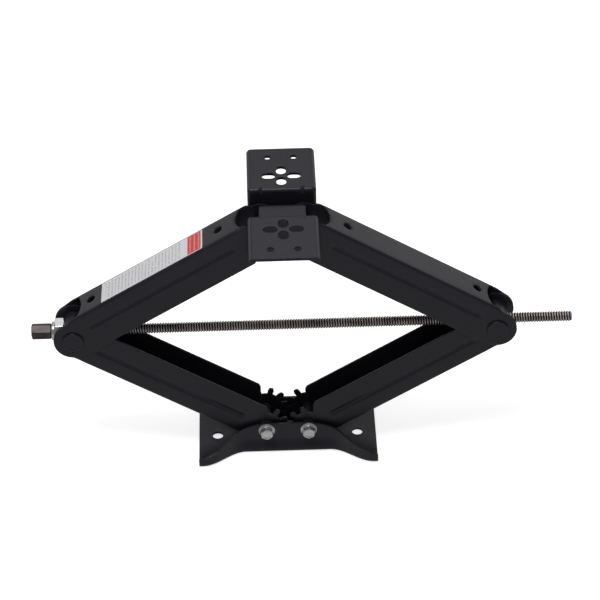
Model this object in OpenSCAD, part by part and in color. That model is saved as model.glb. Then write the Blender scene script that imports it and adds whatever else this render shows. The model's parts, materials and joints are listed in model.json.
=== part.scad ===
// Scissor stabilizer jack: four channel arms with geared ends, a pressed base,
// a hat-section top bracket and a horizontal lead screw between two trunnions.
// X runs along the screw, Z is up, and the origin is on the ground under the middle of the base.

/* [Linkage] */
// Distance from trunnion axis to geared pivot axis on every arm
arm_length = 291; // [260:1:320]
// Angle of the arms above the horizontal as drawn
arm_angle = 31.2; // [20:0.1:45]
// Height of the two base pivots above the ground
base_pivot_z = 32.5; // [32:0.5:38]
// Distance between the two pivots of a geared pair, which is the gear pitch diameter
pivot_spacing = 56; // [54:0.5:60]

/* [Arms] */
// Sheet thickness of the arms
arm_sheet = 2.6; // [2.4:0.1:2.8]
// Outside width of the upper arms; the lower arms nest inside them
upper_arm_width = 52.3; // [52:0.1:53]
// Height of the upper arm's web face above its pin line
upper_web_out = 28.5; // [27:0.5:30]
// Depth of the upper arm's side walls below its pin line
upper_wall_in = 26.6; // [25:0.1:28]
// Distance of the lower arm's web face from its pin line
lower_web_out = 25.4; // [25:0.1:27]
// Height of the lower arm's side walls on the inner side of its pin line
lower_wall_in = 28.4; // [26:0.1:29]
// Outside bend radius of the channels
arm_bend = 4; // [3.5:0.5:5]
// Radius of the rounded arm ends at the trunnions
arm_end_r = 25.2; // [24.5:0.1:25.5]
// Diameter of the round holes in the arm webs
web_hole_d = 12; // [8:0.5:14]

/* [Gear teeth] */
// Number of teeth a full gear would have
gear_teeth = 11; // [11:1:11]
// Tip radius of the teeth
tooth_tip_r = 31.4; // [30.5:0.1:31.6]
// Root radius between the teeth
tooth_root_r = 22; // [21:0.1:23]
// Backlash at the pitch circle
tooth_backlash = 0.9; // [0.7:0.1:1.2]
// Angle of the lowest front tooth from the line between the pivots
tooth_start = -6.8; // [-7:0.1:-6.6]

/* [Base] */
// Length of the base along the screw
base_length = 238; // [230:1:250]
// Depth of the base over its ears
base_depth = 130.4; // [126:0.2:134]
// Sheet thickness of the base
base_sheet = 3.5; // [3:0.1:3.6]
// Depth of the base over the foot of its walls at mid length
base_waist = 73; // [72:0.5:75]
// Height of the base walls at mid length
base_wall_z = 43; // [42.5:0.5:44]
// Distance between the two ear holes
ear_hole_spacing = 188; // [180:1:194]
// Diameter of the ear holes
ear_hole_d = 14; // [10:0.5:16]

/* [Top bracket] */
// Width of the bracket along the screw
bracket_width = 89; // [86:1:92]
// Overall depth of the bracket over both flanges
bracket_depth = 259; // [250:1:264]
// Sheet thickness of the bracket
bracket_sheet = 4; // [3.6:0.1:4]
// Height of the flange faces above the top pivots
bracket_rise = 40; // [39:0.5:42]
// Outside bend radius between flange and wall
bracket_bend = 5; // [4.5:0.5:6]
// Height of the lips along the bracket's sides, which is also their outside bend radius
bracket_lip = 6; // [5:0.5:8]
// Depth of the bracket walls below the top pivots
bracket_drop = 27; // [20:1:28]

/* [Flange holes] */
// Distance from mid depth to the centre of each cross of slots
cross_y = 63; // [62:0.5:64]
// Half the distance between the two slots that run along X
slot_x = 16.5; // [16:0.5:17]
// Half the distance between the two slots that run along Y
slot_y = 13; // [13:0.5:14]
// Width of the slots
slot_w = 12.7; // [12:0.1:13]
// Length of the slots
slot_l = 18; // [16:0.5:19]
// Distance from mid depth to the round holes near the free edges
round_hole_y = 108; // [106:0.5:112]
// Half the distance between the two round holes of a flange
round_hole_x = 17; // [15:0.5:20]
// Diameter of the round holes
round_hole_d = 8.8; // [8:0.1:10]

/* [Screw] */
// Diameter of the lead screw
screw_d = 14; // [14:0.1:14.1]
// Length of screw beyond the drive trunnion axis towards the free end
screw_reach = 653; // [650:1:660]
// Hexagon of the drive head across its flats
head_flats = 19.05; // [18:0.05:21]
// Length of the drive head
head_length = 26.4; // [24:0.2:30]
// Hexagon of the thrust collar across its flats
collar_flats = 30; // [27:0.5:31]

/* [Hidden] */
$fn = 64;

// Colours
paint = [0.16, 0.16, 0.17];
zinc = [0.75, 0.76, 0.75];
bare_steel = [0.42, 0.38, 0.36];
sticker = [0.93, 0.93, 0.93];

// Places that follow from the linkage
pivot_x = pivot_spacing / 2;
trunnion_x = pivot_x + arm_length * cos(arm_angle);
trunnion_z = base_pivot_z + arm_length * sin(arm_angle);
top_pivot_z = base_pivot_z + 2 * arm_length * sin(arm_angle);
bracket_top_z = top_pivot_z + bracket_rise;

// Half widths of the nested channels, from the outside in
side_gap = 0.2;
upper_half = upper_arm_width / 2;
lower_half = upper_half - arm_sheet - side_gap;
lower_inner = lower_half - arm_sheet;
bracket_inner = upper_half + 4.25;
base_inner = upper_half + 0.6;
base_wall = 4;
base_outer = base_inner + base_wall;

// Pivots
sleeve_r = 7;
running_gap = 0.05;
pin_r = 7;
open_gap = 0.3;
spacer_r = 10.5;
bolt_r = 5;
flange_r = 10.9;
journal_r = 11;
barrel_r = 16;
barrel_half = lower_inner - 0.35;
journal_half = upper_half + 0.45;
cap_r = 14;
cap_t = 2.6;

// Stack on the drive end, as distances outwards from the trunnion axis
face_x = 11.5;
pocket_depth = 5;
race_t = 1.3;
ball_r = 1.15;
race_r = 12;
ball_ring_r = 9.6;
ball_count = 12;
collar_start = face_x + 0.1;
collar_length = 12.8;
washer_t = 4;
washer_r = 12.3;
head_start = collar_start + collar_length + washer_t + 0.1;
screw_tail = head_start + head_length - 2;
head_turn = 7;
collar_turn = 35;

// Arm outline
low_foot = [-11, -23.5];
high_foot = [-18.5, -18.3];
end_chamfer = 2.5;
notch_deep = 31;
notch_r = 45;
gear_notch_deep = 21;
gear_notch_r = 34;
web_hole_inset = 47;

// Involute of the arm gears
pressure_angle = 20;
pitch_r = pivot_spacing / 2;
base_circle_r = pitch_r * cos(pressure_angle);
tooth_pitch = 360 / gear_teeth;
tooth_half = (PI * pitch_r / gear_teeth - tooth_backlash / 2) / pitch_r / 2 * 180 / PI;
function involute(a) = tan(a) * 180 / PI - a;
function tooth_side(r) = tooth_half + involute(pressure_angle)
    - involute(acos(min(1, base_circle_r / r)));
function flank(side) = [for (i = [0:6])
    let (r = base_circle_r + (tooth_tip_r - base_circle_r) * i / 6, a = side * tooth_side(r))
    [r * cos(a), r * sin(a)]];
function backwards(list) = [for (i = [len(list) - 1:-1:0]) list[i]];

// Base outline: a bow tie whose edge swings out from the waist to the ears
ear_x0 = 56;
ear_x1 = 114;
band_x = 48;
crest_x0 = 24;
crest_x1 = 128;
crest_low = 12;
function swing(x, x0, x1) = x < x0 ? 0 : x > x1 ? 1 : (1 - cos(180 * (x - x0) / (x1 - x0))) / 2;
function base_edge(x) = base_waist / 2 + (base_depth - base_waist) / 2 * swing(x, ear_x0, ear_x1);
function wall_top(x) = base_wall_z - (base_wall_z - crest_low) * swing(x, crest_x0, crest_x1);
base_xs = concat([0, ear_x0 - 4], [for (i = [0:10]) ear_x0 + (ear_x1 - ear_x0) * i / 10],
    [base_length / 2]);

// ---- shared shapes ----

// Stadium with its length along X
module slot2d(l, w) {
    square([l - w, w], center = true);
    for (s = [-1, 1]) translate([s * (l - w) / 2, 0]) circle(d = w);
}

// Rectangle from z0 to z1 with its two upper corners rounded
module arch2d(half, z0, z1, r) {
    translate([-half, z0]) square([2 * half, z1 - r - z0]);
    translate([-half + r, z1 - r - 1]) square([2 * (half - r), r + 1]);
    for (s = [-1, 1]) translate([s * (half - r), z1 - r]) circle(r);
}

// Lies a Y-Z drawing along X
module along_x(l) { rotate([90, 0, 90]) linear_extrude(l) children(); }

// Lies an X-Z drawing along -Y
module along_y(l) { rotate([90, 0, 0]) linear_extrude(l) children(); }

// Cylinder about the Y axis
module y_rod(r, y0, y1) { translate([0, y1, 0]) rotate([90, 0, 0]) cylinder(r = r, h = y1 - y0); }

// Cylinder about the X axis
module x_rod(r, x0, x1) { translate([x0, 0, 0]) rotate([0, 90, 0]) cylinder(r = r, h = x1 - x0); }

// Hexagonal bar about the X axis with chamfered ends
module x_hex(flats, x0, x1, chamfer, turn) {
    corner = flats / 2 / cos(30);
    rotate([-turn, 0, 0]) intersection() {
        translate([x0, 0, 0]) rotate([0, 90, 0]) cylinder(r = corner, h = x1 - x0, $fn = 6);
        rotate([0, 90, 0]) rotate_extrude() polygon([[0, x0], [corner - chamfer, x0],
            [corner + 0.1, x0 + chamfer * 0.6], [corner + 0.1, x1 - chamfer * 0.6],
            [corner - chamfer, x1], [0, x1]]);
    }
}

// ---- arms: drawn with the trunnion at the origin, the geared pivot on +X and the web on +Z ----

module tooth2d() { polygon(concat([[tooth_root_r - 1, -3.6]], flank(-1), backwards(flank(1)),
    [[tooth_root_r - 1, 3.6]])); }

// Side wall outline; teeth are angles above the line between the pivots, and foot is where
// the wall's end meets the gear, from the geared pivot
module arm_side2d(web_out, wall_in, teeth, foot) {
    slant = tan(arm_angle);
    end_u = foot[0] - (wall_in + foot[1]) * slant;
    foot_angle = atan2(foot[1], foot[0]);
    root = tooth_root_r - 1;
    circle(arm_end_r);
    polygon([[0, arm_end_r], [20, web_out], [arm_length - 9, web_out], [arm_length - 3, web_out - 4],
        [arm_length, root], [arm_length + root * cos(foot_angle), root * sin(foot_angle)],
        [arm_length + foot[0], foot[1]],
        [arm_length + end_u + end_chamfer * slant, -wall_in + end_chamfer],
        [arm_length + end_u - end_chamfer, -wall_in], [30, -wall_in], [0, -arm_end_r]]);
    translate([arm_length, 0]) {
        circle(tooth_root_r);
        for (a = teeth) rotate(-arm_angle - a) tooth2d();
    }
}

module arm_channel(half, web_out, wall_in) {
    translate([-40, 0, 0]) along_x(arm_length + 80) difference() {
        arch2d(half, -wall_in - 10, web_out, arm_bend);
        arch2d(half - arm_sheet, -wall_in - 11, web_out - arm_sheet, arm_bend - arm_sheet);
    }
    for (s = [-1, 1]) translate([arm_length, s * (half - arm_sheet / 2) + arm_sheet / 2, 0])
        along_y(arm_sheet) circle(tooth_tip_r + 1);
}

module arm(half, web_out, wall_in, end_bore, gear_bore) {
    front_teeth = [for (i = [0:2]) tooth_start + i * tooth_pitch];
    back_teeth = [for (i = [0:3]) tooth_start + (i - 0.5) * tooth_pitch];
    cut_half = half - arm_bend;
    difference() {
        intersection() {
            arm_channel(half, web_out, wall_in);
            union() {
                along_y(half + 1) arm_side2d(web_out, wall_in, front_teeth, low_foot);
                translate([0, half + 1, 0]) along_y(half + 1)
                    arm_side2d(web_out, wall_in, back_teeth, high_foot);
            }
        }
        y_rod(end_bore, -half - 1, half + 1);
        translate([arm_length, 0, 0]) y_rod(gear_bore, -half - 1, half + 1);
        intersection() {
            translate([notch_deep - notch_r, 0, web_out - 8]) cylinder(r = notch_r, h = 10);
            translate([-40, -cut_half, web_out - 9]) cube([100, 2 * cut_half, 12]);
        }
        intersection() {
            translate([arm_length - gear_notch_deep + gear_notch_r, 0, web_out - 8])
                cylinder(r = gear_notch_r, h = 10);
            translate([arm_length - 60, -cut_half, web_out - 9]) cube([100, 2 * cut_half, 12]);
        }
        for (u = [web_hole_inset, arm_length - web_hole_inset])
            translate([u, 0, web_out - 8]) cylinder(d = web_hole_d, h = 12);
    }
}

module at_upper_left() {
    translate([-trunnion_x, 0, trunnion_z]) rotate([0, -arm_angle, 0]) children();
}

module upper_arm(gear_bore) {
    mirror([0, 1, 0])
        arm(upper_half, upper_web_out, upper_wall_in, journal_r + running_gap, gear_bore);
}

module lower_arm() {
    arm(lower_half, lower_web_out, lower_wall_in, journal_r + running_gap, sleeve_r + running_gap);
}

module at_lower_left() {
    translate([-trunnion_x, 0, trunnion_z]) rotate([0, arm_angle, 0]) mirror([0, 0, 1]) children();
}

module upper_arm_left() { color(paint) at_upper_left() upper_arm(pin_r + running_gap); }

module upper_arm_right() {
    color(paint) rotate([0, 0, 180]) at_upper_left() upper_arm(pin_r + open_gap);
}

module lower_arm_left() { color(paint) at_lower_left() lower_arm(); }

module lower_arm_right() { color(paint) rotate([0, 0, 180]) at_lower_left() lower_arm(); }

// Blank sticker on the left upper arm
module arm_label() {
    color(sticker) at_upper_left() translate([64, -21.5, upper_web_out]) cube([156, 43, 0.3]);
}

// ---- base ----

module base_plan2d() {
    for (a = [0, 1]) for (b = [0, 1]) mirror([a, 0]) mirror([0, b])
        polygon(concat([[0, 0]], [for (x = base_xs) [x, base_edge(x)]], [[base_length / 2, 0]]));
}

// Band under the swinging edge, from the waist out to the ears
module ear_band2d() {
    xs = [for (x = base_xs) if (x > band_x) x];
    for (a = [0, 1]) for (b = [0, 1]) mirror([a, 0]) mirror([0, b])
        polygon(concat([for (x = xs) [x, base_edge(x)]],
            backwards([for (x = xs) [x, base_edge(x) - base_wall]])));
}

module wall_side2d() {
    top = [for (i = [0:14]) let (x = crest_x0 + (base_length / 2 - crest_x0) * i / 14)
        [x, wall_top(x)]];
    for (a = [0, 1]) mirror([a, 0])
        polygon(concat([[0, 0], [0, base_wall_z]], top, [[base_length / 2, 0]]));
}

// Leaning wall of the waist, as a Y-Z section
module wall_section2d() {
    waist = base_waist / 2;
    polygon([[base_inner, base_wall_z], [base_outer, base_wall_z], [base_outer, 20],
        [waist, base_sheet], [waist, 0], [waist - base_wall - 1, 0], [base_inner, 17]]);
}

module base_plate() {
    color(paint) difference() {
        union() {
            linear_extrude(base_sheet) base_plan2d();
            intersection() {
                union() {
                    linear_extrude(base_wall_z) ear_band2d();
                    for (b = [0, 1]) mirror([0, b, 0]) translate([-ear_x0, 0, 0])
                        along_x(2 * ear_x0) wall_section2d();
                }
                translate([0, base_depth, 0]) along_y(2 * base_depth) wall_side2d();
            }
        }
        for (s = [-1, 1]) {
            translate([s * pivot_x, 0, base_pivot_z]) y_rod(bolt_r + 0.5, -base_depth, base_depth);
            translate([s * ear_hole_spacing / 2, 0, -1]) cylinder(d = ear_hole_d, h = base_sheet + 2);
        }
    }
}

module at_base_pivots() { for (s = [-1, 1]) translate([s * pivot_x, 0, base_pivot_z]) children(); }

// Flanged hexagon from the wall face outwards along +Y
module flanged_hex(height, bore) {
    rotate([-90, 0, 0]) difference() {
        union() {
            cylinder(r = flange_r, h = 1.6);
            translate([0, 0, 1.6]) cylinder(r1 = flange_r - 0.6, r2 = 8.2, h = 1.6);
            cylinder(r = 15 / 2 / cos(30), h = height, $fn = 6);
        }
        if (bore > 0) translate([0, 0, -1]) cylinder(r = bore, h = height + 2);
    }
}

module base_bolts() {
    color(zinc) at_base_pivots() {
        y_rod(bolt_r, -base_outer, base_outer + 13);
        translate([0, -base_outer, 0]) rotate([0, 0, 180]) flanged_hex(10.5, 0);
    }
}

module base_nuts() {
    color(zinc) at_base_pivots() translate([0, base_outer, 0]) flanged_hex(10, bolt_r + 0.02);
}

module pivot_sleeves() {
    color(bare_steel) at_base_pivots() difference() {
        y_rod(sleeve_r, -base_inner + 0.02, base_inner - 0.02);
        y_rod(bolt_r + 0.1, -base_inner - 1, base_inner + 1);
    }
}

module base_spacers() {
    color(bare_steel) at_base_pivots() for (b = [0, 1]) mirror([0, b, 0]) difference() {
        y_rod(spacer_r, lower_half + 0.1, base_inner - 0.02);
        y_rod(sleeve_r + 0.02, 0, base_inner + 1);
    }
}

// ---- top bracket ----

// Block with rounded top and side edges that the bracket's sheet wraps; over lengthens the two
// sides that stay open
module bracket_block(inset, over) {
    half_w = bracket_width / 2 - inset;
    lip_r = bracket_lip - inset;
    bend_r = bracket_bend - inset;
    y0 = bracket_inner + inset;
    y1 = bracket_depth / 2 + over;
    low = -bracket_rise - bracket_drop - over;
    intersection() {
        translate([0, y1, 0]) along_y(y1 - y0) arch2d(half_w, low, -inset, lip_r);
        translate([0, 0, low]) linear_extrude(-low) translate([0, y0]) rotate(180)
            arch2d(half_w, -bracket_depth, 0, lip_r);
        translate([-half_w, 0, 0]) along_x(2 * half_w) union() {
            translate([y0, low]) square([bracket_depth, -low - inset - bend_r]);
            translate([y0 + bend_r, low]) square([bracket_depth, -low - inset]);
            translate([y0 + bend_r, -inset - bend_r]) circle(bend_r);
        }
    }
}

module flange_holes2d() {
    for (a = [-1, 1]) {
        translate([a * slot_x, cross_y]) slot2d(slot_l, slot_w);
        translate([0, cross_y + a * slot_y]) rotate(90) slot2d(slot_l, slot_w);
        translate([a * round_hole_x, round_hole_y]) circle(d = round_hole_d);
    }
}

module flange_bracket() {
    drop = bracket_rise + bracket_drop;
    half_w = bracket_width / 2;
    color(paint) translate([0, 0, bracket_top_z]) difference() {
        intersection() {
            bracket_block(0, 0);
            translate([-half_w, 0, 0]) along_x(bracket_width) {
                translate([bracket_inner, -bracket_lip]) square([bracket_depth, bracket_lip]);
                translate([bracket_inner, -drop]) square([bracket_lip, drop]);
            }
        }
        bracket_block(bracket_sheet, 1);
        translate([0, 0, -bracket_sheet - 1]) linear_extrude(bracket_sheet + 2) flange_holes2d();
        for (s = [-1, 1]) translate([s * pivot_x, 0, -bracket_rise])
            y_rod(pin_r + 0.02, 0, bracket_depth);
    }
}

module top_bracket_back() { flange_bracket(); }

module top_bracket_front() { rotate([0, 0, 180]) flange_bracket(); }

// Inverted channel that keeps the bracket's walls apart and ties them together
module bracket_spacer() {
    half = 19;
    color(paint) translate([0, 0, top_pivot_z]) difference() {
        translate([-30, 0, 0]) along_x(60) difference() {
            arch2d(half, -12, 24.6, 4);
            arch2d(half - 3, -13, 21.6, 1);
        }
        for (s = [-1, 1]) translate([s * pivot_x, 0, 0]) y_rod(pin_r + 0.02, -half - 1, half + 1);
    }
}

// Washers between the upper arms and the bracket's walls
module bracket_washers() {
    color(bare_steel) for (s = [-1, 1]) translate([s * pivot_x, 0, top_pivot_z])
        for (b = [0, 1]) mirror([0, b, 0]) difference() {
            y_rod(spacer_r, upper_half + 0.1, bracket_inner - 0.02);
            y_rod(pin_r + 0.02, 0, bracket_inner + 1);
        }
}

module top_pins() {
    wall = bracket_inner + bracket_sheet;
    color(paint) for (s = [-1, 1]) translate([s * pivot_x, 0, top_pivot_z]) {
        y_rod(pin_r, -wall, wall);
        for (b = [0, 1]) mirror([0, b, 0]) translate([0, wall, 0]) rotate([-90, 0, 0]) {
            cylinder(r = 11.5, h = 2.6);
            translate([0, 0, 2.6]) cylinder(r1 = 11.5, r2 = 8, h = 2);
        }
    }
}

// ---- trunnions ----

module trunnion_caps() {
    for (b = [0, 1]) mirror([0, b, 0]) translate([0, journal_half, 0]) rotate([-90, 0, 0]) {
        cylinder(r = cap_r, h = cap_t - 0.8);
        translate([0, 0, cap_t - 0.8]) cylinder(r1 = cap_r, r2 = cap_r - 1.6, h = 0.8);
    }
}

module trunnion_body() {
    y_rod(barrel_r, -barrel_half, barrel_half);
    y_rod(journal_r, -journal_half, journal_half);
}

module at_drive() { translate([-trunnion_x, 0, trunnion_z]) children(); }

module at_nut() { translate([trunnion_x, 0, trunnion_z]) children(); }

module drive_trunnion() {
    color(paint) at_drive() difference() {
        trunnion_body();
        x_rod(screw_d / 2 + 0.06, -20, 20);
        translate([-face_x - 10, 0, 0]) cube([20, 2 * barrel_half + 1, 40], center = true);
        x_rod(race_r + 0.3, -face_x - 1, -face_x + pocket_depth);
    }
}

module drive_trunnion_caps() { color(paint) at_drive() trunnion_caps(); }

module nut_trunnion() {
    color(paint) at_nut() difference() {
        trunnion_body();
        x_rod(screw_d / 2 + 0.35, -20, 20);
    }
}

module nut_trunnion_caps() { color(paint) at_nut() trunnion_caps(); }

// ---- screw and thrust bearing ----

// Flat ring about the screw, given by its distances outwards from the drive trunnion
module screw_ring(r, d0, d1) {
    difference() {
        x_rod(r, -d1, -d0);
        x_rod(screw_d / 2 + 0.05, -d1 - 1, -d0 + 1);
    }
}

module bearing_race_fixed() {
    floor_x = face_x - pocket_depth;
    color(bare_steel) at_drive() difference() {
        x_rod(race_r, -floor_x - race_t, -floor_x - 0.02);
        x_rod(screw_d / 2 + 0.1, -floor_x - race_t - 1, 0);
    }
}

module bearing_race_turning() {
    color(bare_steel) at_drive() screw_ring(race_r, collar_start - race_t - 0.02, collar_start - 0.02);
}

module bearing_balls() {
    ring_x = face_x - pocket_depth + race_t + ball_r + 0.04;
    color(bare_steel) at_drive() for (i = [0:ball_count - 1]) rotate([i * 360 / ball_count, 0, 0])
        translate([-ring_x, 0, ball_ring_r]) sphere(ball_r);
}

module thrust_collar() {
    color(zinc) at_drive() difference() {
        x_hex(collar_flats, -collar_start - collar_length, -collar_start, 2, collar_turn);
        x_rod(screw_d / 2 + 0.02, -60, 0);
    }
}

module collar_washer() {
    start = collar_start + collar_length + 0.02;
    color(zinc) at_drive() screw_ring(washer_r, start, start + washer_t);
}

module drive_head() {
    color(bare_steel) at_drive() difference() {
        x_hex(head_flats, -head_start - head_length, -head_start, 1.6, head_turn);
        x_rod(screw_d / 2 + 0.02, -screw_tail - 0.02, 0);
    }
}

module lead_screw() {
    r = screw_d / 2;
    color(bare_steel) at_drive() rotate([0, 90, 0]) rotate_extrude() polygon([[0, -screw_tail],
        [r, -screw_tail], [r, screw_reach - 1.6], [r - 1.6, screw_reach], [0, screw_reach]]);
}

base_plate();
base_bolts();
base_nuts();
pivot_sleeves();
base_spacers();
lower_arm_left();
lower_arm_right();
upper_arm_left();
upper_arm_right();
arm_label();
top_bracket_front();
top_bracket_back();
bracket_spacer();
bracket_washers();
top_pins();
drive_trunnion();
drive_trunnion_caps();
bearing_race_fixed();
nut_trunnion();
nut_trunnion_caps();
lead_screw();
drive_head();
thrust_collar();
collar_washer();
bearing_race_turning();
bearing_balls();
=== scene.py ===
import json
import math

import bmesh
import bpy
import numpy as np
from mathutils import Matrix, Vector
from mathutils.geometry import delaunay_2d_cdt


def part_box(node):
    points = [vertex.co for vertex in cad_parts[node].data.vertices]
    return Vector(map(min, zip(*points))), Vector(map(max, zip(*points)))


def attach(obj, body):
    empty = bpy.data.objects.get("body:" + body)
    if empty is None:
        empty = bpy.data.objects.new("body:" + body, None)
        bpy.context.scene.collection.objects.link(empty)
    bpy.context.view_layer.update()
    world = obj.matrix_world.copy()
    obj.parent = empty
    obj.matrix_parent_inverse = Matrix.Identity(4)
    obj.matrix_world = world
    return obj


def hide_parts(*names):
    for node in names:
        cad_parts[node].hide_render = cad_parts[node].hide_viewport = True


# Looks of the scissor jack: pressed sheet with rolled rims and beads, a rolled thread, peened
# pins, zinc plated hardware and powder coat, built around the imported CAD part.
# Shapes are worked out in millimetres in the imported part's frame and turned into metres when a
# mesh is made. Lights, floor and world are in metres.

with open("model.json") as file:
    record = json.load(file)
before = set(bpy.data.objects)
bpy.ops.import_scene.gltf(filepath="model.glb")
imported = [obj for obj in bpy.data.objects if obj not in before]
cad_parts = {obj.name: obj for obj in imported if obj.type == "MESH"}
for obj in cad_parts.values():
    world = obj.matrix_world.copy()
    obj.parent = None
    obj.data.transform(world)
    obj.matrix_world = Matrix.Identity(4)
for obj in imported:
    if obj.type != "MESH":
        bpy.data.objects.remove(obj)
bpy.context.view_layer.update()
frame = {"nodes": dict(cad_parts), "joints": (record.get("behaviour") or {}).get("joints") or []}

MM = 0.001
JOINTS = {j["name"]: j for j in frame["joints"]}


def joint_at(name):
    return np.array(JOINTS[name]["pos_m"], float) / MM


def box_mm(node):
    low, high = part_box(node)
    return np.array(low) / MM, np.array(high) / MM


# ---- places and sizes that the CAD frame gives ----

BASE_PIVOT = joint_at("lower_left_pivot")
TRUNNION = joint_at("left_trunnion_pivot")
TOP_PIVOT = joint_at("top_left_pivot")
PIVOT_X = abs(BASE_PIVOT[0])
ARM_LENGTH = float(np.linalg.norm(TOP_PIVOT - TRUNNION))
ARM_ANGLE = math.asin((TOP_PIVOT[2] - TRUNNION[2]) / ARM_LENGTH)
TRUNNION_X = abs(TRUNNION[0])
AXIS_Z = TRUNNION[2]

UPPER_HALF = box_mm("upper_arm_left")[1][1]
LOWER_HALF = box_mm("lower_arm_left")[1][1]
BASE_END_X = box_mm("base_plate")[1][0]
BRACKET_LOW, BRACKET_HIGH = box_mm("top_bracket_back")
SPACER_LOW, SPACER_HIGH = box_mm("bracket_spacer")
BOLT_LOW, BOLT_HIGH = box_mm("base_bolts")
NUT_END_Y = box_mm("base_nuts")[1][1]
CAP_END_Y = box_mm("drive_trunnion_caps")[1][1]
PIN_END_Y = box_mm("top_pins")[1][1]
SCREW_END_X = box_mm("lead_screw")[1][0]
HEAD_LOW, HEAD_HIGH = box_mm("drive_head")
COLLAR_LOW, COLLAR_HIGH = box_mm("thrust_collar")
WASHER_LOW, WASHER_HIGH = box_mm("collar_washer")

# Sheet rims: radius and the place of the row halfway round; gap between grid and edge points
RIM_R, RIM_MIDDLE, GRID_GAP = 0.55, 0.29, 0.7

# Arms, measured from the line between an arm's two pivots: the web's outer face, the wall's free
# edge, and the angle where the hub's rim runs into the web
ARM_SHEET = 2.6
ARM_BEND = 4.0
END_R = 25.2
UPPER_WEB, UPPER_WALL, UPPER_LEAVE_DEG = 28.5, 26.6, 93.5
LOWER_WEB, LOWER_WALL, LOWER_LEAVE_DEG = 25.4, 28.4, 99.1
# Gear: radii, tooth flanks and the angles of the first tooth and of half a root
HUB_R, TIP_R, PITCH_R = 22.0, 31.4, 28.0
PRESSURE_ANGLE = math.radians(20)
BASE_CIRCLE_R = PITCH_R * math.cos(PRESSURE_ANGLE)
TEETH_ROUND, BACKLASH = 11, 0.45
TOOTH_START_DEG = -6.8
TOOTH_PITCH_DEG = 360 / TEETH_ROUND
ROOT_HALF_DEG = 9.6
# Notches in the web's ends, its two holes, and the bores in the walls
NOTCH_R, NOTCH_REACH = 45.0, 31.0
GEAR_NOTCH_R, GEAR_NOTCH_REACH = 34.0, 21.0
WEB_HOLE_R, WEB_HOLE_INSET = 6.0, 47.0
JOURNAL_R, GEAR_BORE_R = 11.2, 7.2
# Beads: height on the side wall and the two ends along the arm
UPPER_BEAD, LOWER_BEAD = (7.0, 29.0, 257.0), (0.0, 32.0, 258.0)
BEAD_HALF, BEAD_DEEP, BEAD_RUNOUT = 5.6, 1.9, 7
# Corner of the wall beside the gear, from the gear's centre, and how the outline is softened
LOW_FOOT, HIGH_FOOT, END_CHAMFER = (-11.0, -23.5), (-18.5, -18.3), 2.5
CORNER_R = 0.9

# Label on the left upper arm: ends along the arm, half width, height over the web
LABEL_START, LABEL_END, LABEL_HALF, LABEL_LIFT = 64.0, 220.0, 21.5, 0.28
LABEL_WHITE, LABEL_GRAY = (0.955, 0.945, 0.98, 1), (0.40, 0.39, 0.42, 1)
LABEL_RED, LABEL_PINK = (0.86, 0.065, 0.07, 1), (0.92, 0.62, 0.62, 1)
LABEL_INK, LABEL_BAR_INK = 0.55, 0.6

# Base: outer half width of the walls, half width of the foot at the middle and at the ears, and
# where the foot's edge, the walls' lean and the walls' top change along X
BASE_SHEET, BASE_BEND, BASE_CORNER_R = 3.5, 4.0, 5.0
BASE_OUTER = 30.75
WAIST, EAR_EDGE = 36.5, 65.2
EAR_X0, EAR_X1 = 56.0, 114.0
LEAN_X0, LEAN_X1 = 48.0, 84.0
CREST_X0, CREST_X1 = 24.0, 128.0
WALL_TOP, CREST_LOW = 43.0, 12.0
EAR_HOLE_X, EAR_HOLE_R = 94.0, 7.0

# Top bracket and the spacer inside it: the cross of four slots, two round holes, two gussets
BRACKET_SHEET, BRACKET_BEND, LIP_R, BRACKET_CORNER_R = 4.0, 5.0, 6.0, 1.5
PIN_HOLE_R = 7.1
CROSS_Y, SLOT_X, SLOT_Y, SLOT_W, SLOT_L = 63.0, 16.5, 13.0, 12.7, 18.0
ROUND_X, ROUND_Y, ROUND_R = 17.0, 108.0, 4.4
GUSSET_X, GUSSET_HALF, GUSSET_DEEP = 27.0, 2.6, 1.6
SPACER_SHEET, SPACER_BEND = 3.0, 4.0

# Trunnion caps, and the base's flanged bolts and nuts
CAP_THICK = 2.6
FLANGE_R, FLANGE_EDGE = 10.9, 1.2
BOLT_R, BOLT_PITCH, BOLT_THREAD_DEPTH, BOLT_FLATS, BOLT_CHAMFER = 5.0, 1.5, 0.75, 15.0, 0.7
LEFT_TWIST_DEG, RIGHT_TWIST_DEG = 8.0, -6.0

# Screw, drive head and collar
SCREW_R, PITCH, THREAD_DEPTH, TAIL_R = 7.0, 3.42, 1.5, 6.9
HEAD_FLATS, HEAD_TURN_DEG, HEAD_CHAMFER = 19.05, 7.0, 1.5
COLLAR_FLATS, COLLAR_TURN_DEG, COLLAR_CHAMFER = 30.0, 35.0, 0.9
HEX_CORNER_CUT, CHAMFER_SLOPE = 0.24, 0.55

# Camera in degrees and millimetres
CAM_ELEVATION, CAM_YAW, CAM_ROLL = 34.827, 0.961, 1.123
CAM_TARGET, CAM_DISTANCE, CAM_LENS = (20.218, 0.0, 221.241), 3517.96, 162.0

# Lights in metres and watts: name, place, target, size, power
LIGHTS = (("key", (-0.5, -0.6, 2.8), (0, 0, 0.2), (1.3, 0.9), 31),
          ("top", (0.2, 1.9, 2.2), (0, 0, 0.2), (2.4, 1.0), 8),
          ("back_left", (-1.5, 2.1, 0.75), (-0.1, 0, 0.25), (1.2, 0.9), 2.4),
          ("back_right", (1.5, 2.1, 0.75), (0.1, 0, 0.25), (1.2, 0.9), 2.8))
# The world's strength changes from below to above between these two directions
WORLD_BELOW_Z, WORLD_ABOVE_Z = -0.30, 0.10
WORLD_BELOW, WORLD_ABOVE = 0.42, 0.17

# Floor in metres, just under the base
FLOOR_REACH, FLOOR_Z = 30.0, -0.0003


# ---- meshes ----

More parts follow.
